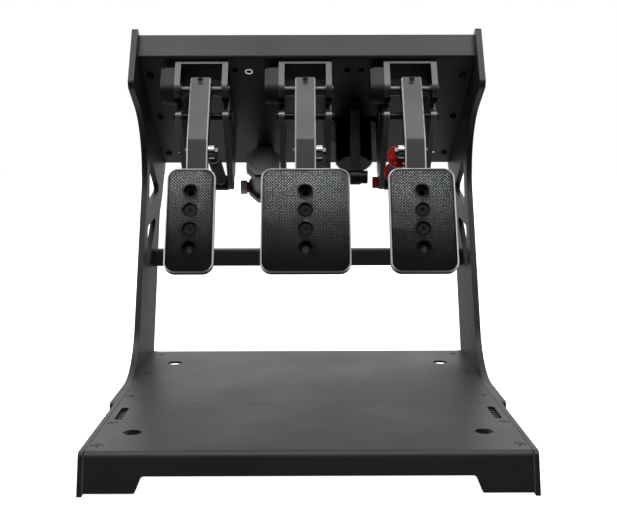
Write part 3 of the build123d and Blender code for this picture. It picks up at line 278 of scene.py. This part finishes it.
def coated(name, dark, light, rough_low, rough_high, edge, grain=1500.0, depth=0.00002):
    """Powder coat: a fine pebbled skin, slightly uneven in gloss, thinner along the edges and lighter there,
    partly as wear and partly as a painted highlight.
    """
    material, tree, shader = fresh(name)
    place = coordinates(tree)
    cloud = noise(tree, place, coat_cloud_scale, 4.0)
    fine = noise(tree, place, grain, 2.0)
    wear_and_highlight, rounded = edge_wear_and_highlight(tree, coat_edge)
    skin = mixed(tree, ramp(tree, cloud, 0, 1, cloud_low, cloud_high), dark, light)
    tree.links.new(mixed(tree, wear_and_highlight, skin, edge), shader.inputs["Base Color"])
    gloss = ramp(tree, cloud, rough_low, rough_high, cloud_low, cloud_high)
    tree.links.new(gloss, shader.inputs["Roughness"])
    relief = bump(tree, fine, depth)
    tree.links.new(rounded, relief.inputs["Normal"])
    tree.links.new(relief.outputs["Normal"], shader.inputs["Normal"])
    return material


def anodised(name, dark, light, rough, edge, stretch=(1, 1, 1), grain=900.0):
    """Anodised aluminium with a faint drawn grain and lighter edges, partly wear and partly a painted
    highlight.
    """
    material, tree, shader = fresh(name)
    place = coordinates(tree, stretch)
    streak = noise(tree, place, grain, 2.0)
    cloud = noise(tree, coordinates(tree), metal_cloud_scale)
    wear_and_highlight, rounded = edge_wear_and_highlight(tree, metal_edge)
    skin = mixed(tree, ramp(tree, cloud, 0, 1, cloud_low, cloud_high), dark, light)
    tree.links.new(mixed(tree, wear_and_highlight, skin, edge), shader.inputs["Base Color"])
    gloss = ramp(tree, streak, *(rough * share for share in drawn_shares))
    tree.links.new(gloss, shader.inputs["Roughness"])
    shader.inputs["Metallic"].default_value = metal_share
    relief = bump(tree, streak, metal_bump)
    tree.links.new(rounded, relief.inputs["Normal"])
    tree.links.new(relief.outputs["Normal"], shader.inputs["Normal"])
    return material


def painted_light_studs(name, dark, light, rough, low, high):
    """Machined studs, dark at the height low and lighter towards the height high: painted light and shade
    running up the plate.
    """
    material, tree, shader = fresh(name)
    place = coordinates(tree)
    parts = tree.nodes.new("ShaderNodeSeparateXYZ")
    tree.links.new(place, parts.inputs["Vector"])
    grain = noise(tree, place, stud_grain_scale, 2.0)
    height = ramp(tree, parts.outputs["Z"], 0, 1, low, high)
    tree.links.new(mixed(tree, height, dark, light), shader.inputs["Base Color"])
    gloss = ramp(tree, grain, *(rough * share for share in grain_shares))
    tree.links.new(gloss, shader.inputs["Roughness"])
    tree.links.new(bump(tree, grain, metal_bump).outputs["Normal"], shader.inputs["Normal"])
    shader.inputs["Metallic"].default_value = metal_share
    return material


def bright(name, colour, rough):
    """Polished metal with faint smears."""
    material, tree, shader = fresh(name)
    smear = noise(tree, coordinates(tree, smear_stretch), smear_scale, 4.0)
    tone = tuple(part * smear_tone_share for part in colour)
    tree.links.new(mixed(tree, smear, tone, colour), shader.inputs["Base Color"])
    gloss = ramp(tree, smear, *(rough * share for share in smear_shares), cloud_low, cloud_high)
    tree.links.new(gloss, shader.inputs["Roughness"])
    shader.inputs["Metallic"].default_value = 1.0
    return material


def moulded(name, dark, light, rough, grain=2200.0, depth=0.00003):
    """Moulded plastic or rubber with a fine eroded texture."""
    material, tree, shader = fresh(name)
    place = coordinates(tree)
    fine = noise(tree, place, grain, 2.0)
    cloud = noise(tree, place, mould_cloud_scale)
    tree.links.new(mixed(tree, cloud, dark, light), shader.inputs["Base Color"])
    gloss = ramp(tree, fine, *(rough * share for share in grain_shares))
    tree.links.new(gloss, shader.inputs["Roughness"])
    tree.links.new(bump(tree, fine, depth).outputs["Normal"], shader.inputs["Normal"])
    return material


powder = coated(
    "powder_coat", (0.015, 0.0152, 0.0162), (0.02, 0.0203, 0.0216), 0.36, 0.46, (0.07, 0.07, 0.072)
)
# A lighter copy of the frame's powder coat for the crossbar: painted light on its front face.
bar_coat_painted_light = coated("bar_coat_painted_light", (0.05, 0.05, 0.052), (0.06, 0.06, 0.062), 0.36, 0.46, (0.12, 0.12, 0.12))
plate_black = anodised("anodised_black", (0.03, 0.03, 0.031), (0.042, 0.042, 0.044), 0.42, (0.2, 0.2, 0.2))
arm_gray = anodised(
    "anodised_gray", (0.08, 0.08, 0.082), (0.095, 0.095, 0.097), 0.42, (0.35, 0.35, 0.35), (6, 0.4, 0.4)
)
block_gray = anodised("machined_black", (0.035, 0.035, 0.036), (0.05, 0.05, 0.052), 0.38, (0.25, 0.25, 0.25))
module_gray = anodised("machined_gray", (0.1, 0.1, 0.102), (0.125, 0.125, 0.128), 0.4, (0.35, 0.35, 0.35))
cap_gray = anodised("cap_gray", (0.22, 0.22, 0.223), (0.26, 0.26, 0.263), 0.4, (0.5, 0.5, 0.5))
can_black = anodised("gloss_black", (0.003, 0.003, 0.003), (0.005, 0.005, 0.005), 0.28, (0.08, 0.08, 0.08))
plate_low, plate_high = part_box("brake_plate")
# The grip's colour runs from near black at the plate's foot to pale grey at its top: painted light and shade.
grip_painted_light = painted_light_studs("grip_painted_light", (0.012, 0.012, 0.012), (0.75, 0.75, 0.76), 0.45, plate_low.z, plate_high.z)
# Near black: the plates' own dark face, and painted shade on the brackets' inner faces and on the cap's
# sides.
black_and_painted_shade = anodised("black_and_painted_shade", (0.002, 0.002, 0.002), (0.003, 0.003, 0.003), 0.4, (0.03, 0.03, 0.03))
red = anodised("anodised_red", (0.42, 0.012, 0.012), (0.5, 0.02, 0.018), 0.3, (0.75, 0.2, 0.18))
steel = bright("polished_steel", (0.78, 0.78, 0.8), 0.14)
nut_steel = bright("nut_steel", (0.2, 0.2, 0.205), 0.4)
axle_steel = bright("axle_steel", (0.14, 0.14, 0.143), 0.34)
rim = bright("polished_rim", (0.95, 0.95, 0.96), 0.55)
screw_black = anodised("black_oxide", (0.025, 0.025, 0.026), (0.04, 0.04, 0.04), 0.34, (0.18, 0.18, 0.18))
socket_black = anodised("socket_black", (0.008, 0.008, 0.008), (0.012, 0.012, 0.012), 0.34, (0.1, 0.1, 0.1))
spring_black = coated("spring_coat", (0.03, 0.03, 0.031), (0.04, 0.04, 0.041), 0.22, 0.3, (0.2, 0.2, 0.2))
plastic = moulded("plastic_black", (0.012, 0.012, 0.013), (0.018, 0.018, 0.02), 0.42)
sensor_black = moulded("sensor_black", (0.006, 0.006, 0.0065), (0.009, 0.009, 0.0095), 0.5)
rubber = moulded("rubber_black", (0.02, 0.02, 0.021), (0.03, 0.03, 0.03), 0.6, 900.0, 0.00006)
bronze = bright("sintered_bronze", (0.2, 0.16, 0.12), 0.4)
lamp = moulded("lamp_white", (0.75, 0.78, 0.8), (0.85, 0.88, 0.9), 0.3)
lamp_shader = lamp.node_tree.nodes["Principled BSDF"]
lamp_shader.inputs["Emission Color"].default_value = lamp_tint
lamp_shader.inputs["Emission Strength"].default_value = lamp_glow

finishes = (
    (("rear_crossbar",), bar_coat_painted_light),
    (("heel_plate", "base_rail", "upright", "pedal_deck", "deck_rail"), powder),
    (("countersunk_screws", "button_screws", "stop_bolts"), screw_black),
    (("throttle_preload_nut", "lock_knob", "throttle_link_guide"), red),
    (("pivot_bushes",), bronze),
    (("control_box",), plastic),
    (("canister_cap", "capped_canister"), cap_gray),
    (("adjuster_knob",), rim),
    (("flanged_canister",), can_black),
    (("brake_elastomers",), rubber),
)
endings = (
    ("_link_pin", nut_steel),
    ("_link_rod", steel),
    ("_preload_nut", block_gray),
    ("_axle", axle_steel),
    ("_screws", socket_black),
    ("_spring", spring_black),
    ("_angle_sensor", sensor_black),
    ("_arm", arm_gray),
    ("_plate", plate_black),
    ("_adaptor", block_gray),
    ("_bracket", module_gray),
    ("_side_plates", cap_gray),
)


def finish_of(name):
    """The material of a node, by the start or the end of its name."""
    for starts, material in finishes:
        if name.startswith(starts):
            return material
    for ending, material in endings:
        if name.endswith(ending):
            return material
    return block_gray


for name, solid in nodes.items():
    solid.data.materials.clear()
    solid.data.materials.append(finish_of(name))


def second_finish(name, material, chosen):
    """Gives the chosen faces of a node another material."""
    mesh = nodes[name].data
    mesh.materials.append(material)
    index = len(mesh.materials) - 1
    for face in mesh.polygons:
        if chosen(face):
            face.material_index = index


def side_direction(angle):
    """The direction in the side view that leans back from upright by the angle."""
    return Vector((0, math.sin(math.radians(angle)), math.cos(math.radians(angle))))


plate_up = side_direction(plate_tilt)
plate_out = -side_direction(plate_tilt + 90)
deck_along = side_direction(deck_tilt + 90)
deck_under = -side_direction(deck_tilt)
arm_out = -side_direction(arm_lean + 90)

for pedal in pedals:
    second_finish(f"{pedal}_arm", rim, lambda face: chamfer_low < abs(face.normal.x) < chamfer_high)
    plate = f"{pedal}_plate"
    second_finish(plate, rim, lambda face: chamfer_low < face.normal.dot(plate_out) < chamfer_high)
    second_finish(plate, black_and_painted_shade, lambda face: face.normal.dot(plate_out) > chamfer_high)
    # The brackets' side and under faces are painted near black: painted shade between and beneath the ears.
    second_finish(
        f"{pedal}_bracket",
        black_and_painted_shade,
        lambda face: abs(face.normal.x) > chamfer_high or face.normal.dot(deck_under) > chamfer_high,
    )


def far_from_axis(face, point, direction):
    """How far the middle of a face lies from a line."""
    offset = face.center - Vector(point)
    return (offset - direction * offset.dot(direction)).length


# The cap's sides and chamfers are painted near black, a painted shade beside its lit front.
cap_front = max(nodes["canister_cap"].data.polygons, key=lambda face: face.area).normal.copy()
second_finish("canister_cap", black_and_painted_shade, lambda face: abs(face.normal.dot(cap_front)) < chamfer_high)
trunnion = joints["throttle_link_swing"]
second_finish(
    "throttle_link_guide",
    plate_black,
    lambda face: far_from_axis(face, trunnion["pos_m"], across) < trunnion_radius * round_slack,
)
knob_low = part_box("adjuster_knob")[0].x
knob_axis = joints["canister_adjuster_turn"]["pos_m"]
second_finish(
    "adjuster_knob",
    red,
    lambda face: collar_start < face.center.x - knob_low < collar_end
    and far_from_axis(face, knob_axis, across) > spindle_radius * spindle_slack,
)
for pedal in pedals:
    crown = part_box(f"{pedal}_screws")[1].z
    second_finish(
        f"{pedal}_screws",
        rim,
        lambda face: crown - face.center.z < clamp_head_depth
        and cone_low < abs(face.normal.dot(arm_out)) < cone_high,
    )


# Pieces

def made(name, work, material, body, slot):
    """A mesh piece that rides on a body."""
    mesh = bpy.data.meshes.new(name)
    work.normal_update()
    work.to_mesh(mesh)
    work.free()
    mesh.materials.append(material)
    piece = bpy.data.objects.new(name, mesh)
    bpy.context.scene.collection.objects.link(piece)
    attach(piece, body)
    return piece


def inside_plate(x, y, width):
    """Whether a point of the plate's face lies on its grip, clear of rim and holes."""
    half_width = width / 2 - plate_rim - grip_margin
    half_height = plate_height / 2 - plate_rim - grip_margin
    corner = plate_corner - plate_rim
    dx = abs(x) - (half_width - corner)
    dy = abs(y) - (half_height - corner)
    if max(dx, dy) > corner:
        return False
    if dx > 0 and dy > 0 and math.hypot(dx, dy) > corner:
        return False
    first = -plate_hole_pitch * (plate_hole_count - 1) / 2
    for index in range(plate_hole_count):
        if math.hypot(x, y - first - index * plate_hole_pitch) < plate_hole_radius + grip_margin:
            return False
    return True


def grip(pedal):
    """Rows of small pyramids, set diamond-wise over the plate's face."""
    low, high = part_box(f"{pedal}_plate")
    face_centre = (low + high) / 2 + plate_out * (plate_thickness / 2)
    width = high.x - low.x
    half = grip_pitch * grip_fill / math.sqrt(2)
    spacing = grip_pitch * math.sqrt(2)
    columns = math.ceil(width / spacing) + 1
    rows = math.ceil(plate_height / spacing) + 1
    work = bmesh.new()
    for row in range(-2 * rows, 2 * rows + 1):
        for column in range(-columns, columns + 1):
            x = (column + (row % 2) / 2) * spacing
            y = row * spacing / 2
            corners = [(x + half, y), (x, y + half), (x - half, y), (x, y - half)]
            if not all(inside_plate(*corner, width) for corner in corners):
                continue
            foot = face_centre - plate_out * grip_sink
            base = [work.verts.new(foot + across * a + plate_up * b) for a, b in corners]
            tip = work.verts.new(face_centre + across * x + plate_up * y + plate_out * grip_height)
            work.faces.new(base[::-1])
            for index in range(4):
                work.faces.new((base[index], base[(index + 1) % 4], tip))
    return made(f"{pedal}_plate_grip", work, grip_painted_light, f"{pedal}_pedal", "anodised_black")


grips = [grip(pedal) for pedal in pedals]


def squashed(pedal, kind, name):
    """The soft solid of a link in its own shape, copied onto the guide's body in place of the part."""
    source = nodes[f"{pedal}_{kind}"]
    piece = bpy.data.objects.new(name, source.data.copy())
    bpy.context.scene.collection.objects.link(piece)
    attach(piece, f"{pedal}_guide")
    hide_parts(f"{pedal}_{kind}")
    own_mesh(piece)
    return piece


squashed("clutch", "spring", "clutch_spring_coil")
squashed("throttle", "spring", "throttle_spring_coil")
squashed("brake", "elastomers", "brake_elastomer_stack")


def lamp_ring():
    """A light ring in the mouth of one socket of the deck."""
    centre = Vector((lamp_x, front_edge + fold_reach, fold_height)) + deck_along * lamp_run
    work = bmesh.new()
    rings = []
    for step in range(lamp_steps):
        angle = 2 * math.pi * step / lamp_steps
        outward = across * math.cos(angle) + deck_along * math.sin(angle)
        ring = []
        for side in range(lamp_sides):
            turn = 2 * math.pi * side / lamp_sides
            place = outward * (lamp_ring_radius + lamp_ring_wire * math.cos(turn))
            ring.append(work.verts.new(centre + place + deck_under * (lamp_ring_wire * math.sin(turn))))
        rings.append(ring)
    for step in range(lamp_steps):
        near, far = rings[step], rings[(step + 1) % lamp_steps]
        for side in range(lamp_sides):
            following = (side + 1) % lamp_sides
            work.faces.new((near[side], near[following], far[following], far[side]))
    return made("lamp_ring", work, lamp, "frame", "plastic_black")


lamp_ring()

# Camera
tilt = math.radians(camera_tilt)
forward = Vector((0, math.cos(tilt), -math.sin(tilt)))
down = forward.cross(across)
turn = Matrix.Rotation(math.radians(camera_yaw), 3, "Z")
forward, right, down = turn @ forward, turn @ across, turn @ down
roll = math.radians(camera_roll)
rolled_right = right * math.cos(roll) - down * math.sin(roll)
rolled_down = right * math.sin(roll) + down * math.cos(roll)
lens = bpy.data.cameras.new("camera")
lens.sensor_width = sensor_width
lens.lens = sensor_width * focal_pixels / image_width
lens.clip_end = camera_reach
camera = bpy.data.objects.new("camera", lens)
bpy.context.scene.collection.objects.link(camera)
axes = Matrix((rolled_right, -rolled_down, -forward)).transposed().to_4x4()
camera.matrix_world = Matrix.Translation((camera_side, front_edge - camera_back, camera_height)) @ axes
bpy.context.scene.camera = camera

# Floor
work = bmesh.new()
bmesh.ops.create_grid(work, x_segments=1, y_segments=1, size=floor_half)
floor_mesh = bpy.data.meshes.new("floor")
work.to_mesh(floor_mesh)
work.free()
floor = bpy.data.objects.new("floor", floor_mesh)
floor.location.z = -floor_drop
bpy.context.scene.collection.objects.link(floor)
floor_material, floor_tree, floor_shader = fresh("floor_white")
floor_shader.inputs["Roughness"].default_value = floor_rough
floor_shader.inputs["Specular IOR Level"].default_value = 0.0
floor_shader.inputs["Emission Color"].default_value = (1, 1, 1, 1)
floor_place = floor_tree.nodes.new("ShaderNodeTexCoord")
floor_parts = floor_tree.nodes.new("ShaderNodeSeparateXYZ")
floor_tree.links.new(floor_place.outputs["Object"], floor_parts.inputs["Vector"])
shade_middle = front_edge + (shade_start + shade_end) / 2
shade_half_depth = (shade_end - shade_start) / 2


def outside(socket, middle, half):
    """Zero where the floor lies under the heel plates and one away from them, along one axis."""
    offset = node(floor_tree, "ShaderNodeMath", operation="SUBTRACT")
    floor_tree.links.new(floor_parts.outputs[socket], offset.inputs[0])
    offset.inputs[1].default_value = middle
    distance = node(floor_tree, "ShaderNodeMath", operation="ABSOLUTE")
    floor_tree.links.new(offset.outputs["Value"], distance.inputs[0])
    return ramp(floor_tree, distance.outputs["Value"], 0, 1, half - shade_edge, half)


# Glow and colour drop to near black under the heel plates: a painted shadow on the floor.
shade = node(floor_tree, "ShaderNodeMath", operation="MAXIMUM")
floor_tree.links.new(outside("X", 0, shade_half_width), shade.inputs[0])
floor_tree.links.new(outside("Y", shade_middle, shade_half_depth), shade.inputs[1])
glow = ramp(floor_tree, shade.outputs["Value"], shade_glow, floor_glow)
floor_tree.links.new(glow, floor_shader.inputs["Emission Strength"])
floor_colour = mixed(floor_tree, shade.outputs["Value"], painted_shade_colour, floor_white)
floor_tree.links.new(floor_colour, floor_shader.inputs["Base Color"])
floor_mesh.materials.append(floor_material)
floor.visible_diffuse = False
floor.visible_glossy = False


def studio_world():
    """White to the eye; for light, bright behind, beside and overhead, dim before the set and below it."""
    world = bpy.data.worlds.new("studio")
    world.use_nodes = True
    tree = world.node_tree
    tree.nodes.clear()
    output = tree.nodes.new("ShaderNodeOutputWorld")
    place = tree.nodes.new("ShaderNodeTexCoord")
    parts = tree.nodes.new("ShaderNodeSeparateXYZ")
    tree.links.new(place.outputs["Generated"], parts.inputs["Vector"])

    def step(value, start, end, low, high):
        made = tree.nodes.new("ShaderNodeMapRange")
        made.interpolation_type = "SMOOTHSTEP"
        made.inputs["From Min"].default_value = start
        made.inputs["From Max"].default_value = end
        made.inputs["To Min"].default_value = low
        made.inputs["To Max"].default_value = high
        tree.links.new(value, made.inputs["Value"])
        return made.outputs["Result"]

    def joined(kind, first, second):
        made = tree.nodes.new("ShaderNodeMath")
        made.operation = kind
        tree.links.new(first, made.inputs[0])
        tree.links.new(second, made.inputs[1])
        return made.outputs["Value"]

    sideways, backwards, upwards = (parts.outputs[axis] for axis in ("X", "Y", "Z"))
    wall = step(backwards, back_start, back_end, 0, back_glow)
    behind = joined("MULTIPLY", wall, step(upwards, horizon_start, horizon_end, horizon_share, 1))
    above = step(upwards, top_start, top_end, 0, top_glow)
    below = step(upwards, low_start, low_end, low_glow, 0)
    beside = step(joined("MULTIPLY", sideways, sideways), side_start, side_end, 0, side_glow)
    total = joined("ADD", joined("ADD", behind, above), joined("ADD", below, beside))
    lighting = tree.nodes.new("ShaderNodeBackground")
    tree.links.new(total, lighting.inputs["Strength"])
    seen = tree.nodes.new("ShaderNodeBackground")
    rays = tree.nodes.new("ShaderNodeLightPath")
    choice = tree.nodes.new("ShaderNodeMixShader")
    tree.links.new(rays.outputs["Is Camera Ray"], choice.inputs["Fac"])
    tree.links.new(lighting.outputs["Background"], choice.inputs[1])
    tree.links.new(seen.outputs["Background"], choice.inputs[2])
    tree.links.new(choice.outputs["Shader"], output.inputs["Surface"])
    lighting.inputs["Color"].default_value = (1, 1, 1, 1)
    seen.inputs["Color"].default_value = (1, 1, 1, 1)
    seen.inputs["Strength"].default_value = 1.0
    return world


bpy.context.scene.world = studio_world()


def soft_light(name, place, target, width, height, power, spread=180, lit=None):
    """A rectangular softbox that faces a point, for everything or only for the lit pieces."""
    light = bpy.data.lights.new(name, "AREA")
    light.shape = "RECTANGLE"
    light.size = width
    light.size_y = height
    light.energy = power
    holder = bpy.data.objects.new(name, light)
    bpy.context.scene.collection.objects.link(holder)
    holder.location = place
    holder.rotation_mode = "QUATERNION"
    holder.rotation_quaternion = (Vector(target) - Vector(place)).to_track_quat("-Z", "Y")
    holder.visible_camera = False
    light.spread = math.radians(spread)
    if lit:
        receivers = bpy.data.collections.new(f"{name}_receivers")
        for piece in lit:
            receivers.objects.link(piece)
        holder.light_linking.receiver_collection = receivers
    return holder


soft_light(
    "top_light", top_light_place, top_light_target, top_light_width, top_light_height, top_light_power
)
soft_light(
    "front_light",
    front_light_place,
    front_light_target,
    front_light_width,
    front_light_height,
    front_light_power,
)
plate_top = Vector((0, plate_high.y, plate_high.z))
soft_light(
    "plate_light",
    plate_top + strip_offset,
    plate_top - plate_up * strip_aim,
    strip_width,
    strip_height,
    strip_power,
    strip_spread,
    grips,
)

bpy.context.scene.view_settings.view_transform = "Standard"
